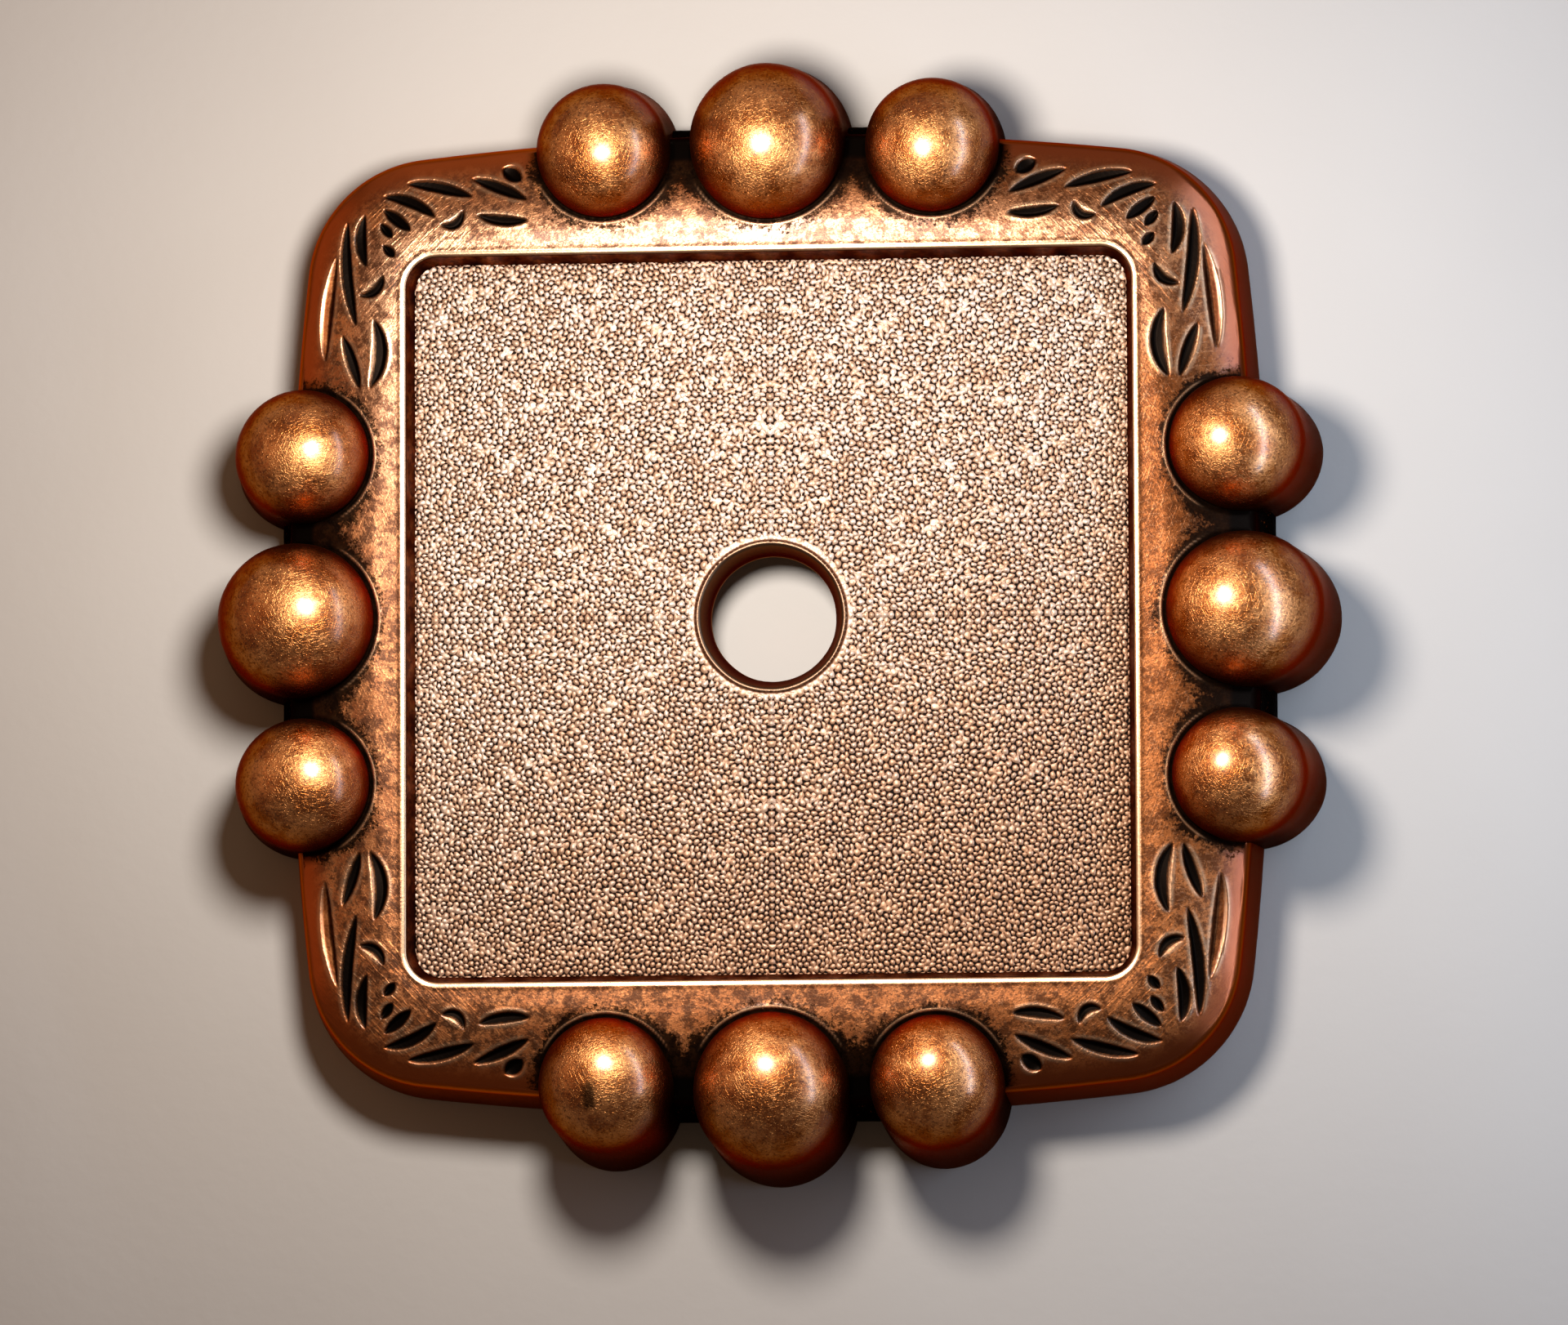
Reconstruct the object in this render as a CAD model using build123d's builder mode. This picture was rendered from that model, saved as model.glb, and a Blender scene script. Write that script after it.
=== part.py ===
from build123d import *
from collections import namedtuple
from math import atan, degrees, hypot
import os

# A square cast concho with three berries on each side, a sunken grainy floor and a plain screw hole.
# Millimetres. The back rests on Z = 0, the face looks up, and the hole is on the Z axis.

# Heights, from the back up
back_hollow = 1.7
floor_thickness = 1.2
recess_depth = 0.9
berry_sink = 0.12

# Recess in the face, and the hollow in the back
recess_side = 24.5
recess_corner = 1.05
recess_wall_slope = 0.18
hollow_side = 24.0
hollow_corner = 1.6

# Outline of the frame at the level of its face: its sides bulge past its corners
frame_corner = 30.25
frame_bulge = 1.075
frame_corner_radius = 4.2
frame_flare = 0.45

# The face rolls off towards the outer edge
roll_width = 2.4
roll_drop = 0.9
roll_radius = 3.0
edge_radius = 0.4
level_slack = 0.05

# Berries: domes on skirts that lean outwards towards the back, joined low down by a web
large_radius = 2.59
small_radius = 2.3
berry_gap = 0.66
berry_margin = 1.06
berry_lean = 0.5
berry_flare = 0.06
web_height = 2.4
web_reach = 0.6

# Screw hole: a straight land at the back and a sloping mouth at the floor
bore_radius = 2.13
bore_land = 0.45
bore_mouth_radius = 2.38

# Graver cuts
leaf_depth = 0.3
leaf_width = 0.36

face_height = back_hollow + floor_thickness + recess_depth
floor_height = back_hollow + floor_thickness
recess_half = recess_side / 2
corner_half = frame_corner / 2
middle_half = corner_half + frame_bulge
berry_level = face_height - berry_sink
berry_inner = recess_half + berry_margin
small_offset = large_radius + berry_gap + small_radius
berry_row_end = small_offset + small_radius

# One corner's leaf cuts. Each end is a place on the frame's band, across and along: -1 is level with
# the end of the berries' row, 0 with the edge of the recess and 1 with the frame's corner. Bow is the
# sideways bend of the middle line to the left of its run, and width the greatest width, both in leaf
# widths. Drop is how far the face has rolled off there, as a share of the whole drop.
Leaf = namedtuple("Leaf", "x_start y_start x_end y_end bow width drop")
leaves = [
    Leaf(0.55, -0.99, 0.76, -0.58, 0.1, 0.9, 0.30),
    Leaf(0.43, -0.99, 0.38, -0.47, 0.8, 1.1, 0.00),
    Leaf(0.97, -0.77, 0.83, 0.04, -0.2, 1.0, 0.65),
    Leaf(0.59, -0.51, 0.71, 0.46, -0.4, 1.0, 0.45),
    Leaf(0.56, -0.28, 0.27, -0.13, 0.6, 0.8, 0.05),
    Leaf(0.47, -0.06, 0.50, 0.53, -0.4, 1.0, 0.40),
    Leaf(0.14, 0.01, 0.27, 0.15, 0.0, 0.8, 0.20),
    Leaf(0.17, 0.24, 0.31, 0.41, 0.0, 0.8, 0.40),
    Leaf(-0.03, 0.32, 0.28, 0.58, 0.0, 1.0, 0.45),
    Leaf(-0.22, 0.47, 0.29, 0.74, 0.4, 1.0, 0.55),
    Leaf(-0.50, 0.71, 0.02, 0.89, 0.2, 1.0, 0.60),
    Leaf(-0.26, 0.38, -0.43, 0.55, 0.7, 0.8, 0.05),
    Leaf(-0.93, 0.42, -0.54, 0.49, -0.3, 0.9, 0.05),
    Leaf(-0.92, 0.66, -0.49, 0.93, 0.1, 1.0, 0.48),
    Leaf(-0.87, 0.90, -0.72, 1.05, 0.0, 1.3, 0.70),
]


def band_place(share):
    """Turn a place on the frame's band into millimetres from the middle."""
    if share < 0:
        return recess_half + share * (recess_half - berry_row_end)
    return recess_half + share * (corner_half - recess_half)


def leaf_points(leaf):
    """Give the two ends of a cut and the middle points of its two sides."""
    x_start, y_start = band_place(leaf.x_start), band_place(leaf.y_start)
    x_end, y_end = band_place(leaf.x_end), band_place(leaf.y_end)
    run = hypot(x_end - x_start, y_end - y_start)
    x_left, y_left = -(y_end - y_start) / run, (x_end - x_start) / run
    sides = []
    for side in (leaf.bow + leaf.width / 2, leaf.bow - leaf.width / 2):
        reach = side * leaf_width
        sides.append(((x_start + x_end) / 2 + x_left * reach, (y_start + y_end) / 2 + y_left * reach))
    return (x_start, y_start), (x_end, y_end), sides


def cast_berry(radius):
    """Make one berry: a dome on a skirt that leans outwards down to the back."""
    with BuildPart() as berry:
        with BuildSketch():
            with Locations((berry_lean, 0)):
                Circle(radius + berry_flare)
        with BuildSketch(Plane.XY.offset(berry_level)):
            Circle(radius)
        loft()
        with Locations((0, 0, berry_level)):
            Sphere(radius, arc_size1=0, align=(Align.CENTER, Align.CENTER, Align.MIN))
    return berry.part


# The frame's outline at its back
back_middle = middle_half + frame_flare
back_corner = corner_half + frame_flare

# Frame: a flaring block whose face rolls off, with the recess in its face and the hollow in its back
with BuildPart() as frame:
    with BuildSketch():
        with BuildLine():
            ThreePointArc((back_corner, -back_corner), (back_middle, 0), (back_corner, back_corner))
            ThreePointArc((back_corner, back_corner), (0, back_middle), (-back_corner, back_corner))
            ThreePointArc((-back_corner, back_corner), (-back_middle, 0), (-back_corner, -back_corner))
            ThreePointArc((-back_corner, -back_corner), (0, -back_middle), (back_corner, -back_corner))
        make_face()
        fillet(vertices(), frame_corner_radius + frame_flare)
    extrude(amount=face_height, taper=degrees(atan(frame_flare / face_height)))
    face = faces().sort_by(Axis.Z)[-1]
    chamfer(face.edges(), length=roll_width, length2=roll_drop, reference=face)
    fillet(edges().group_by(Axis.Z)[-1], roll_radius)
    wall_top = face_height - roll_drop
    fillet(edges().filter_by_position(Axis.Z, wall_top - level_slack, wall_top + level_slack), edge_radius)

    # Recess, and the hollow behind the floor
    with BuildSketch(Plane.XY.offset(face_height)):
        RectangleRounded(recess_side, recess_side, recess_corner)
    extrude(
        amount=-recess_depth,
        taper=degrees(atan(recess_wall_slope / recess_depth)),
        mode=Mode.SUBTRACT,
    )
    with BuildSketch():
        RectangleRounded(hollow_side, hollow_side, hollow_corner)
    extrude(amount=back_hollow, mode=Mode.SUBTRACT)

# Berries: three to a side, the middle one larger, with a low web between neighbours
large_out = berry_inner + large_radius
small_out = berry_inner + small_radius
web_outer = middle_half + web_reach
with BuildPart() as berries:
    with PolarLocations(0, 4):
        with Locations((large_out, 0)):
            add(cast_berry(large_radius))
        with Locations((small_out, small_offset), (small_out, -small_offset)):
            add(cast_berry(small_radius))
        with Locations((web_outer, 0)):
            Box(
                web_outer - berry_inner,
                2 * small_offset,
                web_height,
                align=(Align.MAX, Align.CENTER, Align.MIN),
            )

# Leaf cuts: one corner's, and their mirror images in the other three
with BuildPart() as leaf_cuts:
    for leaf in leaves:
        start, end, sides = leaf_points(leaf)
        cut_floor = face_height - leaf.drop * roll_drop - leaf_depth
        with BuildSketch(Plane.XY.offset(cut_floor)):
            with BuildLine():
                ThreePointArc(start, sides[0], end)
                ThreePointArc(end, sides[1], start)
            make_face()
        extrude(amount=roll_drop + leaf_depth)
    mirror(about=Plane.YZ)
    mirror(about=Plane.XZ)

# Bore: a straight land with a sloping mouth above it
with BuildPart() as bore:
    with BuildSketch(Plane.XZ):
        with BuildLine():
            Polyline(
                (0, back_hollow),
                (bore_radius, back_hollow),
                (bore_radius, back_hollow + bore_land),
                (bore_mouth_radius, floor_height),
                (0, floor_height),
                close=True,
            )
        make_face()
    revolve(axis=Axis.Z)

# The casting is one piece
with BuildPart() as concho:
    add(frame.part)
    add(berries.part)
    add(leaf_cuts.part, mode=Mode.SUBTRACT)
    add(bore.part, mode=Mode.SUBTRACT)

concho.part.label = "concho"
os.makedirs("parts", exist_ok=True)
export_step(concho.part, "parts/concho.step")
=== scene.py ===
from collections import defaultdict, namedtuple
from math import atan2, cos, hypot, pi, radians, sin, sqrt, tan

import bpy
import numpy as np
from mathutils import Matrix, Vector
from mathutils.geometry import delaunay_2d_cdt


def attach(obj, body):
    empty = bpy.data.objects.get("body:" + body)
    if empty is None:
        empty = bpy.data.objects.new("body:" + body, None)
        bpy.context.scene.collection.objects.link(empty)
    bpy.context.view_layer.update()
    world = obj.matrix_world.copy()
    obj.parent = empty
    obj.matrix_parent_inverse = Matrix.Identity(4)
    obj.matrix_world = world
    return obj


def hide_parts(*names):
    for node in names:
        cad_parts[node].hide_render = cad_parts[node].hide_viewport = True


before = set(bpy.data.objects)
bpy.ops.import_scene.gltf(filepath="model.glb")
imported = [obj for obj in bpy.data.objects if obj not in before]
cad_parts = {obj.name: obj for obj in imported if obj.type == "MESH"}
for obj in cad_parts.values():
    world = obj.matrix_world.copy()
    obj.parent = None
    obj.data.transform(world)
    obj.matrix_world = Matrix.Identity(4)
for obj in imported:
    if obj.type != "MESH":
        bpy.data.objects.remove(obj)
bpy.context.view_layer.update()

# Sizes are in millimetres here and become metres when a mesh is made. The back rests on Z = 0.
MM = 0.001

# Heights, from the back up
back_hollow = 1.7
floor_thickness = 1.2
recess_depth = 0.9
berry_sink = 0.12
floor_height = back_hollow + floor_thickness
face_height = floor_height + recess_depth

# Recess in the face, and the hollow in the back
recess_half = 12.22
recess_corner = 1.05
recess_wall_slope = 0.21
hollow_half = 12.0
hollow_corner = 1.6

# Outline of the frame at the level of its face: sides that bulge between rounded corners
corner_half = 15.125
side_bulge = 1.075
corner_radius = 4.2
wall_flare = 0.45
side_radius = (corner_half ** 2 + side_bulge ** 2) / (2 * side_bulge)
side_centre = corner_half + side_bulge - side_radius
corner_reach = side_radius - corner_radius
corner_centre = (side_centre + sqrt(2 * corner_reach ** 2 - side_centre ** 2)) / 2
join_angle = atan2(corner_centre, corner_centre - side_centre)

# The face rolls off towards the outer edge
roll_width = 2.9
roll_drop = 0.9
roll_power = 1.6
lip_radius = 0.13
edge_radius = 0.4
foot_radius = 0.12

# Berries: domes on skirts that lean outwards by berry_lean and widen by berry_flare down to the back.
# Their inner sides are large_inner and small_inner away from the middle.
large_radius = 2.59
small_radius = 2.225
berry_lean = 0.5
berry_flare = 0.06
large_inner = 13.31
small_inner = 13.46
small_offset = 5.55
berry_foot = 0.015
berry_level = face_height - berry_sink
berry_row_end = small_offset + small_radius

# Low webs between the berries
web_height = 2.4
web_foot = 0.012
web_outer = corner_half + side_bulge + 0.6

# A dark stain on the lower left berry
stain_place = (-5.87, -16.2)
stain_size = (0.32, 0.52)

# Screw hole
bore_radius = 2.13
bore_land = 0.45
mouth_radius = 2.38
rim_radius = 2.5

# Pebbled floor: each size's radius and the number of tries at placing it. The centres of two neighbours
# stay apart by pebble_spacing of their summed radii, and merged_share of the neighbours run into each
# other. The heights of the saddle between two pebbles, of the pit between three and of a pebble's
# shoulder are shares of the pebble's height, and shoulder_place is a share of the way to the saddle.
Pebble = namedtuple("Pebble", "radius tries")
pebble_sizes = [
    Pebble(0.114, 600),
    Pebble(0.100, 4500),
    Pebble(0.088, 22000),
    Pebble(0.077, 60000),
    Pebble(0.067, 60000),
]
pebble_spacing = 0.93
merged_share = 0.26
merged_saddle, open_saddle = 0.72, 0.16
merged_pit, open_pit = 0.45, -0.1
shoulder_place, shoulder_height = 0.70, 0.88

# Graver cuts: places on the frame's band, across and along, -1 level with the end of the berries' row, 0
# with the recess's edge and 1 with the frame's corner; bow and width in leaf widths; flank is the width
# of the bright sloping side in leaf widths, to the left of the cut's run when it is positive; black is
# how dark the cut is
leaf_width = 0.40
leaf_depth = 0.2
burr_height = 0.018
burr_width = 0.06
Leaf = namedtuple("Leaf", "x_start y_start x_end y_end bow width flank black")
leaves = [
    Leaf(0.55, -0.99, 0.76, -0.58, 0.1, 0.9, -0.2, 1.0),
    Leaf(0.43, -0.99, 0.38, -0.47, 0.8, 1.1, -0.25, 1.0),
    Leaf(0.97, -0.77, 0.83, 0.04, -0.2, 0.9, -0.25, 0.75),
    Leaf(0.59, -0.51, 0.71, 0.46, -0.4, 1.0, -0.1, 1.0),
    Leaf(0.56, -0.28, 0.27, -0.13, 0.6, 0.8, -0.25, 1.0),
    Leaf(0.47, -0.06, 0.50, 0.53, -0.4, 1.0, -0.1, 1.0),
    Leaf(0.14, 0.01, 0.27, 0.15, 0.0, 0.8, 0.1, 1.0),
    Leaf(0.17, 0.24, 0.31, 0.41, 0.0, 0.8, 0.1, 1.0),
    Leaf(-0.03, 0.32, 0.28, 0.58, 0.0, 1.0, 0.1, 1.0),
    Leaf(-0.22, 0.47, 0.29, 0.74, 0.4, 1.0, 0.1, 1.0),
    Leaf(-0.50, 0.71, 0.02, 0.89, 0.2, 1.0, 0.1, 1.0),
    Leaf(-0.26, 0.38, -0.43, 0.55, 0.7, 0.8, -0.25, 1.0),
    Leaf(-0.93, 0.42, -0.54, 0.49, -0.3, 0.9, 0.1, 1.0),
    Leaf(-0.92, 0.66, -0.49, 0.93, 0.1, 1.0, 0.1, 1.0),
    Leaf(-0.87, 0.90, -0.72, 1.05, 0.0, 1.3, 0.15, 1.0),
]


def smooth(value, low, high):
    """Rise smoothly from 0 at low to 1 at high, or fall where high is the smaller."""
    share = np.clip((value - low) / (high - low), 0, 1)
    return share * share * (3 - 2 * share)


def ripple(x, y, size, seed):
    """Give a soft random wave of about the given size between -1 and 1."""
    rng = np.random.default_rng(seed)
    total = np.zeros(np.shape(x))
    for _ in range(7):
        turn = rng.uniform(0, 2 * pi)
        pitch = 2 * pi / (size * rng.uniform(0.7, 1.6))
        total += np.sin(pitch * (x * cos(turn) + y * sin(turn)) + rng.uniform(0, 2 * pi))
    return total / 3.5


def make_piece(name, points, faces, material, marks=None):
    """Build one smooth mesh piece from millimetre points, with its marks as vertex values."""
    mesh = bpy.data.meshes.new(name)
    corners = [list(dict.fromkeys(face)) for face in np.asarray(faces).tolist()]
    mesh.from_pydata((np.asarray(points) * MM).tolist(), [], corners)
    mesh.polygons.foreach_set("use_smooth", np.ones(len(mesh.polygons), bool))
    for mark, values in (marks or {}).items():
        layer = mesh.attributes.new(mark, "FLOAT", "POINT")
        layer.data.foreach_set("value", np.asarray(values, np.float32))
    mesh.materials.append(material)
    mesh.validate()
    piece = bpy.data.objects.new(name, mesh)
    bpy.context.scene.collection.objects.link(piece)
    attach(piece, "root")
    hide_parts("concho")


def grid_faces(rows, columns, closed=False):
    """List the quads of a grid whose points run along its rows."""
    across = np.arange(columns if closed else columns - 1)
    row = np.arange(rows - 1)[:, None] * columns
    near, far = row + across, row + (across + 1) % columns
    return np.stack([near, far, far + columns, near + columns], -1).reshape(-1, 4)


def mirrored(points, faces, x_side, y_side):
    """Mirror a quarter's points into another corner, with its faces kept facing outwards."""
    points = points * np.array([x_side, y_side, 1])
    return points, faces if x_side * y_side > 0 else faces[:, ::-1]


quarters = {"ne": (1, 1), "nw": (-1, 1), "sw": (-1, -1), "se": (1, -1)}


# Outlines: s runs from 0 at the middle of the right side, over 2 at the corner, to 4 at the top's middle
def swap_half(s, x, y):
    """Mirror the second half of a quarter's outline in its diagonal."""
    return np.where(s > 2, y, x), np.where(s > 2, x, y)


def rounded_square(s, half, corner):
    """Follow a quarter of a square with rounded corners."""
    t = np.minimum(s, 4 - s)
    turn = pi / 4 * np.clip(t - 1, 0, 1)
    x = half - corner + corner * np.cos(turn)
    y = np.clip(t, 0, 1) * (half - corner) + corner * np.sin(turn)
    return swap_half(s, x, y)


def cushion(s, spread):
    """Follow a quarter of the frame's outline, moved outwards by spread."""
    t = np.minimum(s, 4 - s)
    side = join_angle * np.clip(t, 0, 1)
    corner = join_angle + (pi / 4 - join_angle) * np.clip(t - 1, 0, 1)
    x = np.where(
        t < 1,
        side_centre + (side_radius + spread) * np.cos(side),
        corner_centre + (corner_radius + spread) * np.cos(corner),
    )
    y = np.where(
        t < 1,
        (side_radius + spread) * np.sin(side),
        corner_centre + (corner_radius + spread) * np.sin(corner),
    )
    return swap_half(s, x, y)


def inside_outline(x, y):
    """Say how far places lie inside the frame's outline."""
    long, short = np.maximum(x, y), np.minimum(x, y)
    in_corner = short - corner_centre > (long - corner_centre) * tan(join_angle)
    from_side = side_radius - np.hypot(long - side_centre, short)
    from_corner = corner_radius - np.hypot(long - corner_centre, short - corner_centre)
    return np.where(in_corner & (long > corner_centre), from_corner, from_side)


def outside_recess(x, y):
    """Say how far places lie outside the recess's rounded square."""
    centre = recess_half - recess_corner
    return np.hypot(np.clip(x - centre, 0, None), np.clip(y - centre, 0, None)) - recess_corner


def berry_gap(x, y):
    """Say how far places lie outside the nearest berry."""
    long, short = np.maximum(x, y), np.minimum(x, y)
    from_large = np.hypot(long - large_inner - large_radius, short) - large_radius
    from_small = np.hypot(long - small_inner - small_radius, short - small_offset) - small_radius
    return np.minimum(from_large, from_small)


# Graver cuts
def band_place(share):
    """Turn a place on the frame's band into millimetres from the middle."""
    if share < 0:
        return recess_half + share * (recess_half - berry_row_end)
    return recess_half + share * (corner_half - recess_half)


def leaf_spine(leaf, count=33):
    """Follow the middle line of a cut."""
    start = np.array([band_place(leaf.x_start), band_place(leaf.y_start)])
    end = np.array([band_place(leaf.x_end), band_place(leaf.y_end)])
    run = end - start
    left = np.array([-run[1], run[0]]) / np.hypot(*run)
    t = np.linspace(0, 1, count)[:, None]
    return start + run * t + left * leaf.bow * leaf_width * 4 * t * (1 - t)


def leaf_place(spine, x, y):
    """Give places their share of the way along a spine and their distance to its left."""
    best = np.full(x.shape, np.inf)
    along, left = np.zeros(x.shape), np.zeros(x.shape)
    count = len(spine) - 1
    for i in range(count):
        (ax, ay), (bx, by) = spine[i], spine[i + 1]
        dx, dy = bx - ax, by - ay
        share = np.clip(((x - ax) * dx + (y - ay) * dy) / (dx * dx + dy * dy), 0, 1)
        gap_x, gap_y = x - ax - share * dx, y - ay - share * dy
        gap = np.hypot(gap_x, gap_y)
        nearer = gap < best
        best = np.where(nearer, gap, best)
        along = np.where(nearer, (i + share) / count, along)
        left = np.where(nearer, np.sign(dx * gap_y - dy * gap_x) * gap, left)
    return along, left


def engrave(x, y):
    """Give the depth of the cuts at places on the face, and how dark and how bright they are there."""
    depth, dark, bright = np.zeros(x.shape), np.zeros(x.shape), np.zeros(x.shape)
    for leaf in leaves:
        spine = leaf_spine(leaf)
        low, high = spine.min(0) - 2 * leaf_width, spine.max(0) + 2 * leaf_width
        near = (x > low[0]) & (x < high[0]) & (y > low[1]) & (y < high[1])
        along, left = leaf_place(spine, x[near], y[near])
        taper = np.clip(4 * along * (1 - along), 0.0001, 1) ** 0.7
        across = left * np.sign(leaf.flank)
        half = leaf.width * leaf_width / 2 * taper
        flank = abs(leaf.flank) * leaf_width * taper
        deepest = -0.25 * half
        steep = np.clip((across + half) / (deepest + half), 0, 1) ** 0.7
        slope = 1 - 0.6 * np.clip((across - deepest) / (half - deepest), 0, 1)
        slope = np.where(across > half, 0.4 * np.clip((half + flank - across) / flank, 0, 1), slope)
        groove = np.where(across < deepest, steep, slope) * leaf_depth * taper ** 0.6
        groove = np.where((along <= 0) | (along >= 1), 0, groove)
        beyond = np.where(across < 0, -half - across, across - half - flank)
        burr = burr_height * np.exp(-((beyond - burr_width) / burr_width) ** 2)
        burr *= smooth(beyond, -burr_width, 0.02)
        burr *= smooth(along, 0, 0.1) * smooth(along, 1, 0.9)
        black = smooth(across, -half - 0.04, -half + 0.05) * smooth(across, half + 0.05, half - 0.04)
        black = np.where((along <= 0) | (along >= 1), 0, black)
        # Painted highlights on the lit sloping side of each cut and on its burrs
        slope_shine = (across > half) & (across < half + flank) & (along > 0) & (along < 1)
        shine = np.maximum(0.35 * burr / burr_height, 0.4 * slope_shine)
        depth[near] = np.maximum(depth[near], groove) - burr * (groove <= 0)
        dark[near] = np.maximum(dark[near], black * leaf.black)
        bright[near] = np.maximum(bright[near], shine * (1 - black))
    return depth, dark, bright


# Materials
class Shader:
    """A material whose nodes are added by short calls."""

    def __init__(self, name):
        self.material = bpy.data.materials.new(name)
        self.material.use_nodes = True
        self.tree = self.material.node_tree
        self.surface = self.tree.nodes["Principled BSDF"]

    def plug(self, socket, value):
        """Set a socket to a value, or link it to another node's output."""
        if isinstance(value, bpy.types.NodeSocket):
            self.tree.links.new(value, socket)
        else:
            socket.default_value = value

    def add(self, kind, inputs, output=0, **settings):
        """Add a node with its settings and inputs, and give its output."""
        node = self.tree.nodes.new("ShaderNode" + kind)
        for setting, value in settings.items():
            setattr(node, setting, value)
        for place, value in inputs.items():
            self.plug(node.inputs[place], value)
        return node.outputs[output]

    def mark(self, name):
        """Read one of the mesh's marks."""
        return self.add("Attribute", {}, "Fac", attribute_name=name)

    def math(self, operation, a, b):
        """Work out one number from two."""
        return self.add("Math", {0: a, 1: b}, operation=operation)

    def ease(self, value, low, high, out_low=0.0, out_high=1.0):
        """Map a stretch of a value smoothly onto another."""
        ends = {"From Min": low, "From Max": high, "To Min": out_low, "To Max": out_high}
        return self.add("MapRange", {"Value": value, **ends}, interpolation_type="SMOOTHSTEP")

    def mix(self, share, a, b):
        """Blend two colours."""
        return self.add("Mix", {0: share, 6: a, 7: b}, 2, data_type="RGBA")

    def blend(self, share, a, b):
        """Blend two numbers."""
        return self.add("Mix", {0: share, 2: a, 3: b}, 0, data_type="FLOAT")

    def place(self):
        """Give the place on the object in millimetres."""
        spot = self.add("TexCoord", {}, "Object")
        return self.add("VectorMath", {0: spot, "Scale": 1 / MM}, operation="SCALE")

    def noise(self, spot, pitch, detail, roughness=0.5, stretch=(1, 1, 1), turn=(0, 0, 0)):
        """Give noise of the given pitch in millimetres, stretched and turned."""
        inputs = {"Vector": spot, "Rotation": turn, "Scale": stretch}
        spot = self.add("Mapping", inputs, vector_type="TEXTURE")
        inputs = {"Vector": spot, "Scale": 1 / pitch, "Detail": detail, "Roughness": roughness}
        return self.add("TexNoise", inputs, "Fac")

    def bump(self, height, depth):
        """Turn a height of the given depth in millimetres into a normal."""
        return self.add("Bump", {"Height": height, "Distance": depth * MM})

    def fold(self, spot):
        """Fold the place into one corner."""
        return self.add("VectorMath", {0: spot}, operation="ABSOLUTE")

    def way(self, folded, operation):
        """Give the smaller or the larger of a folded place's two ways from the middle."""
        x, y = self.add("SeparateXYZ", {0: folded}, 0), self.add("SeparateXYZ", {0: folded}, 1)
        return self.math(operation, x, y)

    def lean(self, spot, across, along):
        """Give the way across and along the piece, each times its weight."""
        x = self.add("SeparateXYZ", {0: spot}, 0)
        y = self.add("SeparateXYZ", {0: spot}, 1)
        return self.math("ADD", self.math("MULTIPLY", x, across), self.math("MULTIPLY", y, along))

    def lacquer(self, weight, roughness, ior):
        """Cover the surface with a thin clear coat."""
        self.plug(self.surface.inputs["Coat Weight"], weight)
        self.plug(self.surface.inputs["Coat Roughness"], roughness)
        self.plug(self.surface.inputs["Coat IOR"], ior)

    def tint_edge(self, color):
        """Keep the metal this colour where it is seen edge on."""
        self.plug(self.surface.inputs["Specular Tint"], color)

    def finish(self, color, roughness, metallic, normal):
        """Connect the surface."""
        self.plug(self.surface.inputs["Base Color"], color)
        self.plug(self.surface.inputs["Roughness"], roughness)
        self.plug(self.surface.inputs["Metallic"], metallic)
        self.plug(self.surface.inputs["Normal"], normal)
        return self.material


# Polished copper, also used for painted highlights
shine_copper = (0.80, 0.51, 0.30, 1)
# Painted highlight for the top of the face by the lip
top_highlight_copper = (0.84, 0.50, 0.29, 1)
bright_copper = (0.60, 0.28, 0.13, 1)
# Painted sheen for the bottom of the face
bottom_sheen_copper = (0.62, 0.215, 0.062, 1)
tan_copper = (0.68, 0.265, 0.090, 1)
warm_copper = (0.38, 0.110, 0.028, 1)
# Tarnish for worn specks, and painted shade for the right side of the face
tarnish_and_shade_copper = (0.19, 0.053, 0.012, 1)
brown_copper = (0.10, 0.029, 0.008, 1)
# The outer edge's painted reflection, and its painted shade on the right side
edge_reflection_copper = (0.44, 0.090, 0.008, 1)
edge_shade_copper = (0.17, 0.030, 0.004, 1)
# Painted shade for the berries' skirts
skirt_shade_copper = (0.095, 0.020, 0.004, 1)
# Black patina for cuts, pits and crevices, also used as painted shade
black_patina_and_shade = (0.006, 0.004, 0.003, 1)
edge_tint = (0.50, 0.26, 0.14, 1)
# Dark edge colour that keeps the painted shade in the gaps black
gap_shade_tint = (0.05, 0.025, 0.015, 1)
berry_light = (0.86, 0.36, 0.116, 1)
berry_cloud = (0.46, 0.128, 0.021, 1)
berry_scratch = (0.95, 0.42, 0.14, 1)
# Painted shade and reflection down the berries' flanks
berry_flank_shade = (0.18, 0.034, 0.005, 1)
pebble_light = (0.80, 0.66, 0.54, 1)
pebble_warm = (0.44, 0.275, 0.175, 1)
# Tarnish on the pebbles, also used as painted shade
pebble_tarnish_and_shade = (0.48, 0.25, 0.13, 1)
# Painted shade inside the hole
bore_brown = (0.040, 0.012, 0.004, 1)
bore_dark = (0.014, 0.005, 0.002, 1)
back_light = (0.40, 0.20, 0.10, 1)
back_dull = (0.24, 0.11, 0.05, 1)
stage_light = (0.50, 0.47, 0.44, 1)
stage_dull = (0.47, 0.44, 0.41, 1)
scratch_turns = ((0, 0.3, 0.4), (0.5, 0, 1.2), (-0.4, 0.2, 2.0), (0.2, -0.6, 2.8), (0.9, 0.4, 0.1))


def scratches(shader, spot, pitch):
    """Give fine scratches that cross in several directions."""
    total = 0.0
    for turn in scratch_turns:
        lines = shader.noise(spot, pitch, 1.0, 0.4, (10, 1, 1), turn)
        total = shader.math("ADD", total, shader.ease(lines, 0.57, 0.70))
    return total


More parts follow.
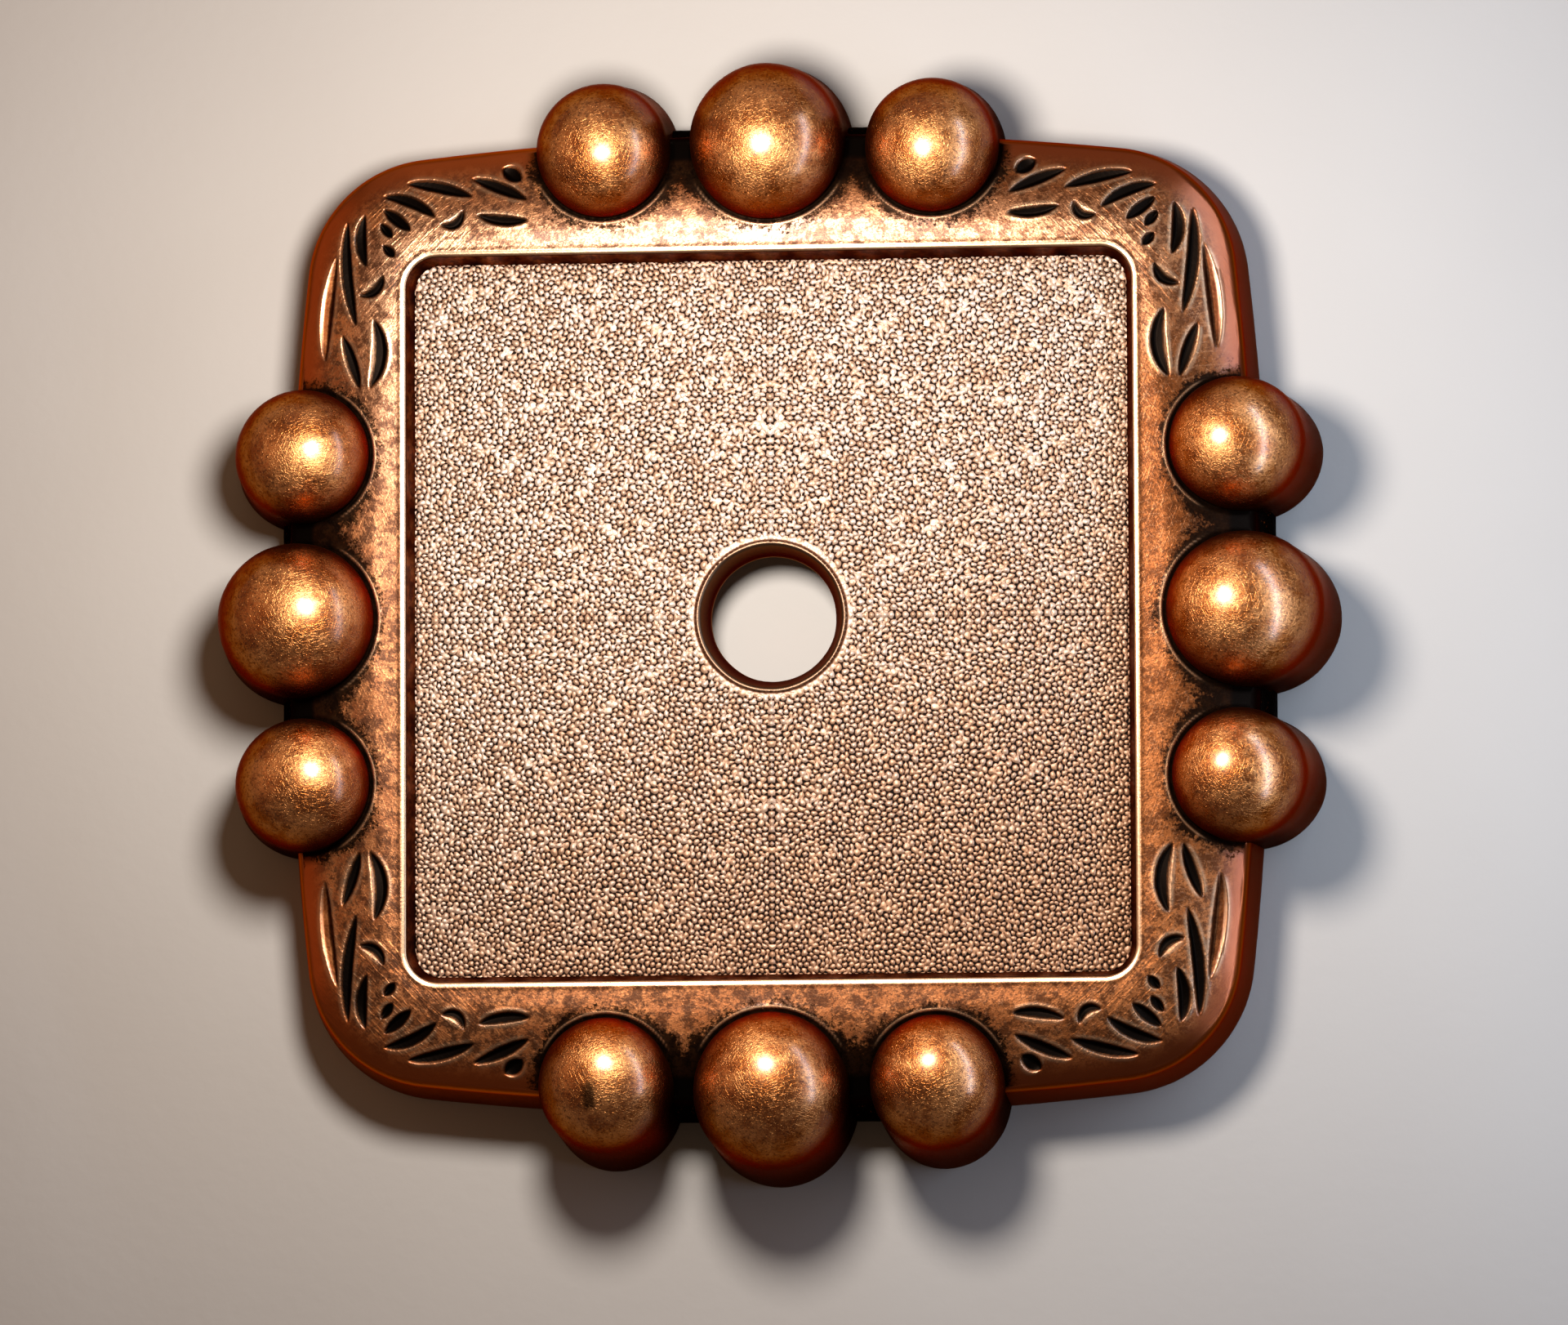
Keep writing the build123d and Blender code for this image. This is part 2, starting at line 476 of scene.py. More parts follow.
def frame_material():
    """Worn copper plating with dark cuts, stains by the berries and fine strokes at the corners, with
    painted shade, painted sheen and painted highlights.
    """
    shader = Shader("frame_copper")
    spot = shader.place()
    folded = shader.fold(spot)
    near = shader.way(folded, "MINIMUM")
    mottle = shader.noise(spot, 0.8, 5.0, 0.72)
    blotch = shader.noise(spot, 0.45, 5.0, 0.75)
    patches = shader.noise(spot, 0.5, 5.0, 0.8)
    speckle = shader.noise(spot, 0.10, 3.0, 0.62)
    lines = scratches(shader, spot, 0.07)
    flank, shine, pale = shader.mark("flank"), shader.mark("shine"), shader.mark("pale")

    # Painted shade darkens and dulls the plating to the right, a painted sheen makes it rosy at the bottom
    # and a painted highlight makes it pale by the lip at the top
    side_shade = shader.ease(shader.lean(spot, 1.0, 0.1), -8, 19)
    side_shade = shader.math("MULTIPLY", side_shade, shader.ease(near, 6, 12, 1, 0.75))
    low = shader.ease(shader.lean(spot, 0.3, -1.0), -2, 15)
    high = shader.ease(shader.lean(spot, -0.3, 1.0), 3, 15, 0, 0.75)
    color = shader.mix(shader.ease(mottle, 0.40, 0.60), warm_copper, tan_copper)
    color = shader.mix(shader.math("MULTIPLY", pale, 0.3), color, bright_copper)
    color = shader.mix(shader.math("MULTIPLY", side_shade, 0.95), color, tarnish_and_shade_copper)
    color = shader.mix(shader.math("MULTIPLY", low, 0.40), color, bottom_sheen_copper)
    color = shader.mix(shader.math("MULTIPLY", high, pale), color, top_highlight_copper)

    # Blotches, specks and scratches, then the flank's painted reflection, the polished lines with their
    # painted highlights, and the black of cuts, stains and painted shade
    color = shader.mix(shader.ease(blotch, 0.44, 0.58, 0, 0.9), color, brown_copper)
    color = shader.mix(shader.ease(speckle, 0.46, 0.66, 0, 0.75), color, brown_copper)
    color = shader.mix(shader.ease(lines, 0.4, 2.0, 0, 0.25), color, bright_copper)
    # Painted reflection on the outer edge, darker where shade is painted on the right
    color = shader.mix(flank, color, shader.mix(side_shade, edge_reflection_copper, edge_shade_copper))
    # Polished lines with painted highlights
    color = shader.mix(shine, color, shine_copper)
    patches = shader.math("ADD", patches, shader.math("MULTIPLY", speckle, 0.5))
    stain = shader.ease(shader.math("ADD", shader.mark("stain"), patches), 1.12, 1.36)
    stain = shader.math("MULTIPLY", stain, shader.ease(shine, 0.1, 0.5, 0.94, 0.0))
    dark = shader.math("MAXIMUM", shader.mark("dark"), stain)
    color = shader.mix(dark, color, black_patina_and_shade)

    roughness = shader.ease(speckle, 0.35, 0.7, 0.40, 0.52)
    roughness = shader.math("ADD", roughness, shader.math("MULTIPLY", low, 0.13))
    roughness = shader.blend(flank, roughness, 0.34)
    roughness = shader.blend(shine, roughness, 0.34)
    roughness = shader.blend(dark, roughness, 0.52)

    # Grain, scratches and diagonal strokes at the corners, calmer where it is dark, polished or steep
    strokes = shader.noise(folded, 0.12, 1.5, 0.5, (9, 1, 1), (0, 0, radians(-45)))
    strokes = shader.ease(strokes, 0.44, 0.66)
    strokes = shader.math("MULTIPLY", strokes, shader.ease(near, 8.6, 11.4, 0.06, 0.45))
    grain = shader.math("ADD", shader.math("MULTIPLY", speckle, 0.45), shader.math("MULTIPLY", lines, 0.10))
    calm = shader.ease(shader.math("ADD", dark, flank), 0.2, 0.8, 1, 0.2)
    calm = shader.math("MULTIPLY", calm, shader.ease(shine, 0.2, 0.8, 1, 0.25))
    height = shader.math("MULTIPLY", shader.math("ADD", grain, strokes), calm)
    normal = shader.bump(height, 0.020)

    # The clear coat is worn off in the dark and on the wall, and thinned on the right side where shade is
    # painted
    dull = shader.math("SUBTRACT", 0.7, shader.math("MULTIPLY", flank, 0.7))
    dull = shader.math("MULTIPLY", dull, side_shade)
    bare = shader.math("MAXIMUM", shader.math("MAXIMUM", dark, shader.mark("wall")), dull)
    coat = shader.math("MULTIPLY", shader.ease(bare, 0, 0.8, 1, 0), shader.ease(flank, 0, 1, 1, 0.6))
    shader.lacquer(coat, 0.3, 1.5)
    shader.tint_edge(edge_tint)
    return shader.finish(color, roughness, 1.0, normal)


def berry_material():
    """Polished copper with fine crossing scratches, with painted shade and reflection that make it redder
    and darker down the flanks.
    """
    shader = Shader("berry_copper")
    spot = shader.place()
    cloud = shader.noise(spot, 1.1, 4.0, 0.65)
    speckle = shader.noise(spot, 0.10, 3.0, 0.6)
    lines = scratches(shader, spot, 0.05)
    flank, dark = shader.mark("flank"), shader.mark("dark")
    color = shader.mix(shader.ease(cloud, 0.38, 0.62), berry_cloud, berry_light)
    color = shader.mix(shader.ease(speckle, 0.48, 0.68, 0, 0.75), color, brown_copper)
    color = shader.mix(shader.ease(lines, 0.3, 1.6, 0, 0.3), color, berry_scratch)
    # Painted shade and reflection down the flanks and skirt, then painted shade at the joints and towards
    # the neighbours, with the stain
    color = shader.mix(flank, color, berry_flank_shade)
    color = shader.mix(shader.mark("skirt"), color, skirt_shade_copper)
    color = shader.mix(dark, color, black_patina_and_shade)
    roughness = shader.ease(cloud, 0.3, 0.7, 0.34, 0.42)
    roughness = shader.blend(flank, roughness, 0.34)
    roughness = shader.blend(dark, roughness, 0.5)
    normal = shader.bump(shader.math("ADD", shader.math("MULTIPLY", speckle, 0.5), lines), 0.0042)
    shader.lacquer(shader.mark("coat"), 0.25, 1.6)
    shader.tint_edge(edge_tint)
    return shader.finish(color, roughness, 1.0, normal)


def pebble_material():
    """Worn pale tops with brown-black patina down in the crevices, and painted shade by the wall and
    towards the lower right.
    """
    shader = Shader("pebbled_copper")
    spot = shader.place()
    cloud = shader.noise(spot, 2.2, 3.0, 0.6)
    speckle = shader.noise(spot, 0.06, 2.0, 0.6)
    tone = shader.mark("tone")
    color = shader.mix(tone, pebble_warm, pebble_light)
    color = shader.mix(shader.ease(cloud, 0.55, 0.75, 0, 0.3), color, pebble_tarnish_and_shade)
    color = shader.mix(shader.ease(speckle, 0.50, 0.70, 0, 0.55), color, pebble_tarnish_and_shade)
    # Tarnish and painted shade darken the pebbles by the wall
    reach = shader.way(shader.fold(spot), "MAXIMUM")
    wall_patina_and_shade = shader.ease(reach, recess_half - 1.6, recess_half - 0.2, 0, 0.4)
    color = shader.mix(wall_patina_and_shade, color, pebble_tarnish_and_shade)
    # Painted shade towards the lower right, with darker crevices there
    side_shade = shader.ease(shader.lean(spot, 0.45, -1.0), -9, 19)
    color = shader.mix(side_shade, color, pebble_tarnish_and_shade)
    crevice = shader.math("ADD", shader.mark("crevice"), shader.ease(side_shade, 0.1, 0.9, 0.02, 0.10))
    color = shader.mix(shader.ease(crevice, 0.40, 0.70), color, brown_copper)
    color = shader.mix(shader.ease(crevice, 0.60, 0.92), color, black_patina_and_shade)
    roughness = shader.ease(crevice, 0.2, 0.7, 0.56, 0.66)
    metallic = shader.ease(crevice, 0.6, 0.95, 0.80, 0.9)
    normal = shader.bump(speckle, 0.006)
    shader.lacquer(shader.ease(crevice, 0.35, 0.65, 0.9, 0), 0.38, 1.5)
    return shader.finish(color, roughness, metallic, normal)


def web_material():
    """Near-black painted shade in the gaps between the berries, with a few worn specks."""
    shader = Shader("gap_shade")
    spot = shader.place()
    speckle = shader.noise(spot, 0.12, 3.0, 0.7)
    color = shader.mix(shader.ease(speckle, 0.60, 0.74), black_patina_and_shade, tarnish_and_shade_copper)
    roughness = shader.ease(speckle, 0.4, 0.7, 0.62, 0.42)
    normal = shader.bump(speckle, 0.03)
    shader.tint_edge(gap_shade_tint)
    return shader.finish(color, roughness, 1.0, normal)


def bore_material():
    """Painted shade in dark brown inside the hole, with a worn tan rim and a painted highlight along the
    bottom edge.
    """
    shader = Shader("bore_copper")
    spot = shader.place()
    speckle = shader.noise(spot, 0.08, 3.0, 0.6)
    color = shader.mix(shader.ease(speckle, 0.4, 0.7), bore_brown, bore_dark)
    shine = shader.mark("shine")
    color = shader.mix(shine, color, pebble_warm)
    roughness = shader.blend(shine, 0.46, 0.38)
    normal = shader.bump(speckle, 0.01)
    shader.tint_edge(edge_tint)
    return shader.finish(color, roughness, 1.0, normal)


def back_material():
    """Duller cast back with shallow pits."""
    shader = Shader("back_copper")
    spot = shader.place()
    cloud = shader.noise(spot, 3.0, 4.0, 0.6)
    pits = shader.noise(spot, 0.25, 3.0, 0.6)
    color = shader.mix(shader.ease(cloud, 0.35, 0.65), back_dull, back_light)
    color = shader.mix(shader.ease(pits, 0.52, 0.72, 0, 0.6), color, black_patina_and_shade)
    roughness = shader.ease(pits, 0.3, 0.7, 0.42, 0.58)
    normal = shader.bump(pits, 0.05)
    return shader.finish(color, roughness, 0.95, normal)


def stage_material():
    """Plain pale floor."""
    shader = Shader("pale_floor")
    spot = shader.place()
    color = shader.mix(shader.noise(spot, 9.0, 3.0), stage_dull, stage_light)
    normal = shader.bump(shader.noise(spot, 0.5, 2.0), 0.01)
    return shader.finish(color, 0.7, 0.0, normal)


# Frame
def roll_off(inside):
    """Say how far the face has dropped at a distance inside the outline."""
    return roll_drop * np.clip((roll_width - inside) / roll_width, 0, 1) ** roll_power


def outline_steps():
    """Space the columns closely at the corner's cuts and wider along the berries."""
    fine_from = 0.6
    wide = np.arange(0, fine_from, 0.0078)
    fine = np.arange(fine_from, 1, 0.0046)
    corner = np.linspace(1, 2, 56)
    half = np.concatenate([wide, fine, corner])
    return np.concatenate([half, 4 - half[-2::-1]])


def edge_profile():
    """Follow the frame's section from the end of its face round the edge and down the wall to the foot."""
    slope = atan2(roll_drop * roll_power, roll_width)
    wall = pi / 2 - atan2(wall_flare, face_height)
    start = edge_radius * (sin(wall) - sin(slope)) - wall_flare * (roll_drop + 0.3) / face_height
    top = face_height - roll_off(start)
    turns = np.linspace(slope, wall, 9)
    edge = [
        (-start + edge_radius * (sin(a) - sin(slope)), top - edge_radius * (cos(slope) - cos(a)))
        for a in turns
    ]
    spread, height = edge[-1]
    for share in np.linspace(0, 1, 10)[1:]:
        z = height + (foot_radius - height) * share
        edge.append((spread + (wall_flare - spread) * share, z))
    for a in np.linspace(0, pi / 2, 5)[1:]:
        edge.append((wall_flare - foot_radius * (1 - cos(a)), foot_radius * (1 - sin(a))))
    return start, edge


def face_row(x, y, share):
    """Give the height and the marks of a row of the face, with its cuts and the grooves by the berries."""
    inside = inside_outline(x, y)
    from_lip = outside_recess(x, y)
    gap = berry_gap(x, y)
    outer_gap = np.clip(gap, 0, 9)
    long, short = np.maximum(x, y), np.minimum(x, y)
    depth, dark, shine = engrave(x, y)
    groove = np.exp(-(outer_gap / 0.09) ** 2)
    rim = np.exp(-((gap - 0.17) / 0.06) ** 2)
    wave = 0.02 * ripple(x, y, 3.0, 5) * smooth(share, 0, 0.3)
    bead = 0.02 * np.exp(-((from_lip - 0.2) / 0.07) ** 2)
    z = face_height - roll_off(inside) - depth - 0.05 * groove + 0.015 * rim + wave + bead

    # Painted highlights on the raised lines by the berries and on the lip, which is also polished
    shine = np.maximum(shine, 0.4 * rim * smooth(long, large_inner + 1.6, large_inner + 0.9))
    shine = np.maximum(shine, smooth(from_lip, 0.22, 0.12))

    # Painted shade lies in the grooves and between the berries, and patchy stains lie on the face around
    # them
    between = smooth(inside, 1.9, 0.6) * smooth(short, berry_row_end, berry_row_end - 1)
    shadow = smooth(inside, 1.2, 0.3) * smooth(gap, 0.55, 0.1)
    dark = np.maximum(dark, np.exp(-(outer_gap / 0.08) ** 2))
    dark = np.maximum(dark, np.maximum(between, 0.8 * shadow))
    near_gap = smooth(short, berry_row_end + 0.4, berry_row_end - 1.2)
    stain = 0.72 * np.exp(-outer_gap / 0.75) + 0.35 * near_gap * smooth(inside, 3.2, 0.6)
    # Painted reflection on the outer edge and down the wall
    flank = smooth(inside, 1.15, 0.1)
    # Painted sheen that brightens the face towards the lip
    pale = smooth(from_lip, 2.4, 0.1)
    return z, {"dark": dark, "shine": shine, "flank": flank, "stain": stain, "pale": pale}


def frame_quarter():
    """Make the points of one quarter of the frame, with their marks."""
    s = outline_steps()
    face_start, edge = edge_profile()
    columns = ("dark", "shine", "flank", "stain", "pale", "wall")
    rows = []

    def add_row(x, y, z, **marks):
        rows.append([x, y, 0 * s + z] + [0 * s + marks.get(name, 0) for name in columns])

    # Recess wall in painted shade, and the polished lip with a painted highlight on top
    for share in np.linspace(-0.1, 1, 8):
        inset = recess_wall_slope * (1 - share)
        x, y = rounded_square(s, recess_half - inset, recess_corner - inset)
        z = floor_height + share * (recess_depth - lip_radius)
        add_row(x, y, z, dark=0.86 + 0.14 * ripple(x, y, 1.2, 17) - 0.22 * share)
    for turn in np.linspace(0, pi / 2, 7)[1:]:
        out = lip_radius * (1 - cos(turn))
        x, y = rounded_square(s, recess_half + out, recess_corner + out)
        z = face_height - lip_radius * (1 - sin(turn))
        shine = smooth(turn, 0.3, 1.0)
        add_row(x, y, z, dark=1 - shine, shine=shine)

    # Face
    inner = rounded_square(s, recess_half + lip_radius, recess_corner + lip_radius)
    outer = cushion(s, -face_start)
    for share in np.linspace(0, 1, 76)[1:]:
        x = inner[0] + (outer[0] - inner[0]) * share
        y = inner[1] + (outer[1] - inner[1]) * share
        z, marks = face_row(x, y, share)
        add_row(x, y, z, **marks)

    # Edge and wall down to the foot, with painted shade between the berries
    wall_top = face_height - roll_drop
    for spread, height in edge[1:]:
        x, y = cushion(s, spread)
        dark = smooth(np.minimum(x, y), berry_row_end + 0.35, berry_row_end - 0.5)
        add_row(x, y, height, dark=dark, flank=1, wall=smooth(height, wall_top + 0.1, wall_top - 0.1))
    table = np.array(rows)
    points = table[:, :3].transpose(0, 2, 1).reshape(-1, 3)
    marks = {name: table[:, 3 + i].ravel() for i, name in enumerate(columns)}
    return points, grid_faces(len(rows), len(s))[:, ::-1], marks


def build_frame(material):
    """Make the frame in four mirrored quarters."""
    points, faces, marks = frame_quarter()
    for name, sides in quarters.items():
        make_piece("frame_" + name, *mirrored(points, faces, *sides), material, marks)


# Pebbled floor
def scatter_pebbles():
    """Throw pebble centres over one quarter of the floor, the large ones first."""
    rng = np.random.default_rng(11)
    edge = recess_half - recess_wall_slope + 0.08
    placed, sizes, cells = [], [], defaultdict(list)
    cell = 0.45

    def put(x, y, radius):
        cells[int(x / cell), int(y / cell)].append(len(placed))
        placed.append((x, y))
        sizes.append(radius)

    def free(x, y, radius):
        column, row = int(x / cell), int(y / cell)
        for i in range(column - 1, column + 2):
            for j in range(row - 1, row + 2):
                for k in cells[i, j]:
                    reach = (radius + sizes[k]) * pebble_spacing
                    if (x - placed[k][0]) ** 2 + (y - placed[k][1]) ** 2 < reach * reach:
                        return False
        return True

    # Rows along the two mirror lines, the outer edges and the hole
    count = 20
    for k in range(count + 1):
        turn = pi / 2 * k / count
        put(rim_radius * cos(turn), rim_radius * sin(turn), 0.1)
    along = rim_radius
    while along < edge - 0.32:
        along += rng.uniform(0.2, 0.27)
        put(along, 0.0, 0.11)
        put(0.0, along, 0.11)
    put(edge, 0.0, 0.1)
    put(0.0, edge, 0.1)
    steps = int(edge / 0.2)
    for k in range(1, steps + 1):
        put(edge, edge * k / steps, 0.1)
        if k < steps:
            put(edge * k / steps, edge, 0.1)

    # The field itself, finer towards the recess's edges
    for radius, tries in pebble_sizes:
        for x, y in rng.uniform(0.09, edge - 0.07, (tries, 2)):
            near_edge = max(x, y) > edge - 1.3 and radius > 0.09
            if near_edge or hypot(x, y) < rim_radius + 0.08:
                continue
            if free(x, y, radius):
                put(x, y, radius)
    return np.array(placed), np.array(sizes)


def pebble_faces(triangles, pairs, lookup, count):
    """List the floor's faces: each corner of each triangle is a slice of one pebble."""
    m = len(pairs)
    pit = count + 3 * m + np.arange(len(triangles))
    faces = []
    for corner in range(3):
        peak = triangles[:, corner]
        ahead, behind = lookup[corner], lookup[(corner + 2) % 3]
        ahead_up = count + m + ahead + m * (pairs[ahead, 0] != peak)
        behind_up = count + m + behind + m * (pairs[behind, 0] != peak)
        faces += [
            np.stack([peak, ahead_up, behind_up], 1),
            np.stack([ahead_up, count + ahead, pit], 1),
            np.stack([ahead_up, pit, behind_up], 1),
            np.stack([behind_up, pit, count + behind], 1),
        ]
    return np.concatenate(faces)


def pebble_quarter():
    """Make one quarter of the floor: a dome on every centre, with crevices between neighbours."""
    rng = np.random.default_rng(23)
    centres, sizes = scatter_pebbles()
    result = delaunay_2d_cdt([Vector(p) for p in centres], [], [], 0, 1e-7)
    triangles = np.array(result[2])
    on_rim = np.hypot(*centres.T) < rim_radius + 1e-6
    triangles = triangles[~on_rim[triangles].all(1)]
    count = len(centres)
    tallness = rng.uniform(0.25, 1.0, count)
    top = sizes * (0.25 + 0.85 * tallness)
    top = np.where(on_rim, 0.075, top)
    tone = np.clip(rng.normal(1.9 * tallness - 0.65, 0.28), 0, 1)
    tone[on_rim] = 0
    base = floor_height + 0.02 * ripple(centres[:, 0], centres[:, 1], 2.5, 3) - 0.02

    # One vertex for each neighbour pair at its saddle, and two more on the way up its pebbles
    sides = [triangles[:, [0, 1]], triangles[:, [1, 2]], triangles[:, [2, 0]]]
    pairs = np.sort(np.concatenate(sides), 1)
    pairs, lookup = np.unique(pairs, axis=0, return_inverse=True)
    lookup = lookup.reshape(3, -1)
    first, second = centres[pairs[:, 0]], centres[pairs[:, 1]]
    weight = (sizes[pairs[:, 0]] / sizes[pairs].sum(1))[:, None]
    saddle = first + (second - first) * weight
    from_hole = np.hypot(*saddle.T) - rim_radius
    near_hole = smooth(from_hole, 0.35, 0.12)
    merged = rng.random(len(pairs)) < merged_share + (1 - merged_share) * near_hole
    saddle_z = base[pairs].mean(1) + top[pairs].min(1) * np.where(merged, merged_saddle, open_saddle)
    up_first = first + (saddle - first) * shoulder_place
    up_second = second + (saddle - second) * shoulder_place
    up_first_z = base[pairs[:, 0]] + shoulder_height * top[pairs[:, 0]]
    up_second_z = base[pairs[:, 1]] + shoulder_height * top[pairs[:, 1]]

    # One vertex in the pit where three pebbles meet
    pit = centres[triangles].mean(1)
    pit_merged = merged[lookup].sum(0)
    rise = np.where(pit_merged > 1, merged_pit, open_pit)
    pit_z = base[triangles].mean(1) + top[triangles].min(1) * rise
    jitter = rng.normal(0, 0.012, (count, 2))
    jitter[on_rim | (centres.min(1) < 1e-6)] = 0
    peaks = centres + jitter

    # Gather the vertices: peaks, saddles, two shoulders, pits
    flat = np.concatenate([peaks, saddle, up_first, up_second, pit])
    heights = np.concatenate([base + top, saddle_z, up_first_z, up_second_z, pit_z])
    points = np.column_stack([flat, heights])
    crevice = np.concatenate([
        np.zeros(count),
        np.where(merged, 0.44, rng.uniform(0.56, 1.10, len(pairs))),
        np.full(2 * len(pairs), 0.30),
        np.where(pit_merged > 1, 0.60, rng.uniform(0.80, 1.35, len(triangles))),
    ])
    fused = 0.3 + 0.7 * smooth(from_hole, 0.08, 0.35)
    pit_fused = 0.3 + 0.7 * smooth(np.hypot(*pit.T) - rim_radius, 0.08, 0.35)
    crevice *= np.concatenate([np.ones(count), fused, fused, fused, pit_fused])
    crevice = np.maximum(crevice, 0.74 * smooth(np.hypot(*flat.T) - rim_radius, 0.24, 0.04))
    shoulder_tones = [tone[pairs[:, 0]], tone[pairs[:, 1]]]
    tones = np.concatenate([tone, tone[pairs].mean(1), *shoulder_tones, tone[triangles].mean(1)])
    faces = pebble_faces(triangles, pairs, lookup, count)
    return points, faces, {"crevice": crevice, "tone": tones}


def build_pebbles(material):
    """Make the floor in four mirrored quarters."""
    points, faces, marks = pebble_quarter()
    for name, sides in quarters.items():
        make_piece("pebbles_" + name, *mirrored(points, faces, *sides), material, marks)


# Berries
def berry_section(radius):
    """Follow a berry's section from beside its crown down to its foot."""
    dome = [(radius * sin(a), berry_level + radius * cos(a)) for a in np.linspace(0.03, pi / 2, 34)]
    shares = np.linspace(0, 1, 16)[1:]
    return dome + [(radius + berry_flare * t, berry_level * (1 - t) + berry_foot) for t in shares]


def berry_marks(local, placed, radius, out, along, centre_x):
    """Mark a berry's points by their place on it before it is turned, and by their final place."""
    x, y, z = local.T
    above = (z - berry_level) / radius
    # Painted shade where the berry meets the face and on its lower sides towards its neighbours
    contact_shade = smooth(x - out, 0, -0.5 * radius) * smooth(z, face_height + 0.25, face_height + 0.02)
    neighbour_shade = smooth(np.abs(y - along), 0.72 * radius, 0.95 * radius) * smooth(z, face_height + 0.9, 2.6)
    x, y, _ = placed.T
    spread = np.hypot((x - stain_place[0]) / stain_size[0], (y - stain_place[1]) / stain_size[1])
    spread += 0.25 * ripple(x, y, 0.5, 77)
    dark = np.maximum(contact_shade, 0.9 * neighbour_shade)
    dark = np.maximum(dark, 0.85 * smooth(spread, 1.1, 0.5) * (z > berry_level))
    right = smooth((x - centre_x) / radius, 0.3, 0.6) * smooth(above, 0.25, 0.66)
    coat = np.maximum(smooth(above, 0.66, 0.80), 0.6 * right)
    return {
        # Painted shade and reflection down the flanks and the skirt
        "flank": smooth(above, 0.90, 0.22),
        "skirt": smooth(z, berry_level - 0.2, berry_level - 2.4),
        "dark": dark,
        "coat": coat * (1 - dark),
    }


def make_berry(name, radius, out, along, turn, seed, material):
    """Make one berry: a dome on a leaning skirt, a little uneven, with its foot closed."""
    columns = 96
    around = np.linspace(0, 2 * pi, columns, endpoint=False)
    top_height = berry_level + radius
    rows = []
    for ring, z in berry_section(radius):
        wobble = 1 + 0.004 * ripple(np.cos(around) * ring, np.sin(around) * ring + z, 2.2, seed)
        lean = berry_lean * (1 - z / top_height) ** 1.5 * (1 + np.cos(around)) / 2
        x = ring * wobble * np.cos(around) + out + lean
        y = ring * wobble * np.sin(around) + along
        rows.append(np.stack([x, y, np.full(columns, z)], -1))
    last = (len(rows) - 1) * columns
    points = np.concatenate(rows + [[(out, along, top_height), (out + berry_lean, along, berry_foot)]])
    top, foot = len(points) - 2, len(points) - 1
    step = np.arange(columns)
    after = (step + 1) % columns
    cap = np.stack([np.full(columns, top), step, after, after], 1)
    base = np.stack([np.full(columns, foot), last + after, last + step, last + step], 1)
    faces = np.concatenate([grid_faces(len(rows), columns, closed=True)[:, ::-1], cap, base])
    placed = points @ np.array(Matrix.Rotation(turn, 3, "Z")).T
    centre_x = (placed[top, 0] + placed[foot, 0]) / 2
    marks = berry_marks(points, placed, radius, out, along, centre_x)
    make_piece(name, placed, faces, material, marks)


def build_berries(material):
    """Make the twelve berries, three to a side."""
    for side in range(4):
        for place in (-1, 0, 1):
            radius = small_radius if place else large_radius
            out = radius + (small_inner if place else large_inner)
            name = "berry_%d_%d" % (side + 1, place + 2)
            seed = 40 + 3 * side + place
            make_berry(name, radius, out, place * small_offset, side * pi / 2, seed, material)


# Hole, back and webs
Ring = namedtuple("Ring", "radius height shine")
# Shine paints the worn bevel tan, and a highlight line at the bottom edge of the wall
bore_rings = [
    Ring(rim_radius + 0.06, floor_height + 0.02, 0.4),
    Ring(rim_radius, floor_height + 0.058, 0.5),
    Ring(rim_radius - 0.04, floor_height + 0.05, 0.4),
    Ring(mouth_radius + 0.03, floor_height + 0.01, 0.3),
    Ring(mouth_radius, floor_height - 0.05, 0.3),
    Ring(mouth_radius - 0.02, floor_height - 0.12, 0.25),
    Ring(bore_radius + 0.10, back_hollow + bore_land + 0.25, 0.1),
    Ring(bore_radius + 0.01, back_hollow + bore_land, 0),
    Ring(bore_radius, back_hollow + 0.12, 0),
    Ring(bore_radius - 0.012, back_hollow + 0.05, 1),
    Ring(bore_radius, back_hollow + 0.01, 1),
    Ring(bore_radius + 0.08, back_hollow - 0.005, 0),
]


def build_bore(material):
    """Make the hole's bevelled rim and its wall down to the back."""
    columns = 144
    around = np.linspace(0, 2 * pi, columns, endpoint=False)
    rows, shine = [], []
    for ring in bore_rings:
        wobble = 1 + 0.005 * ripple(np.cos(around) * 2, np.sin(around) * 2 + ring.height, 1.5, 71)
        x, y = ring.radius * wobble * np.cos(around), ring.radius * wobble * np.sin(around)
        rows.append(np.stack([x, y, np.full(columns, ring.height)], -1))
        shine.append(np.full(columns, float(ring.shine)))
    points = np.array(rows).reshape(-1, 3)
    faces = grid_faces(len(rows), columns, closed=True)
    make_piece("bore", points, faces, material, {"shine": np.ravel(shine)})


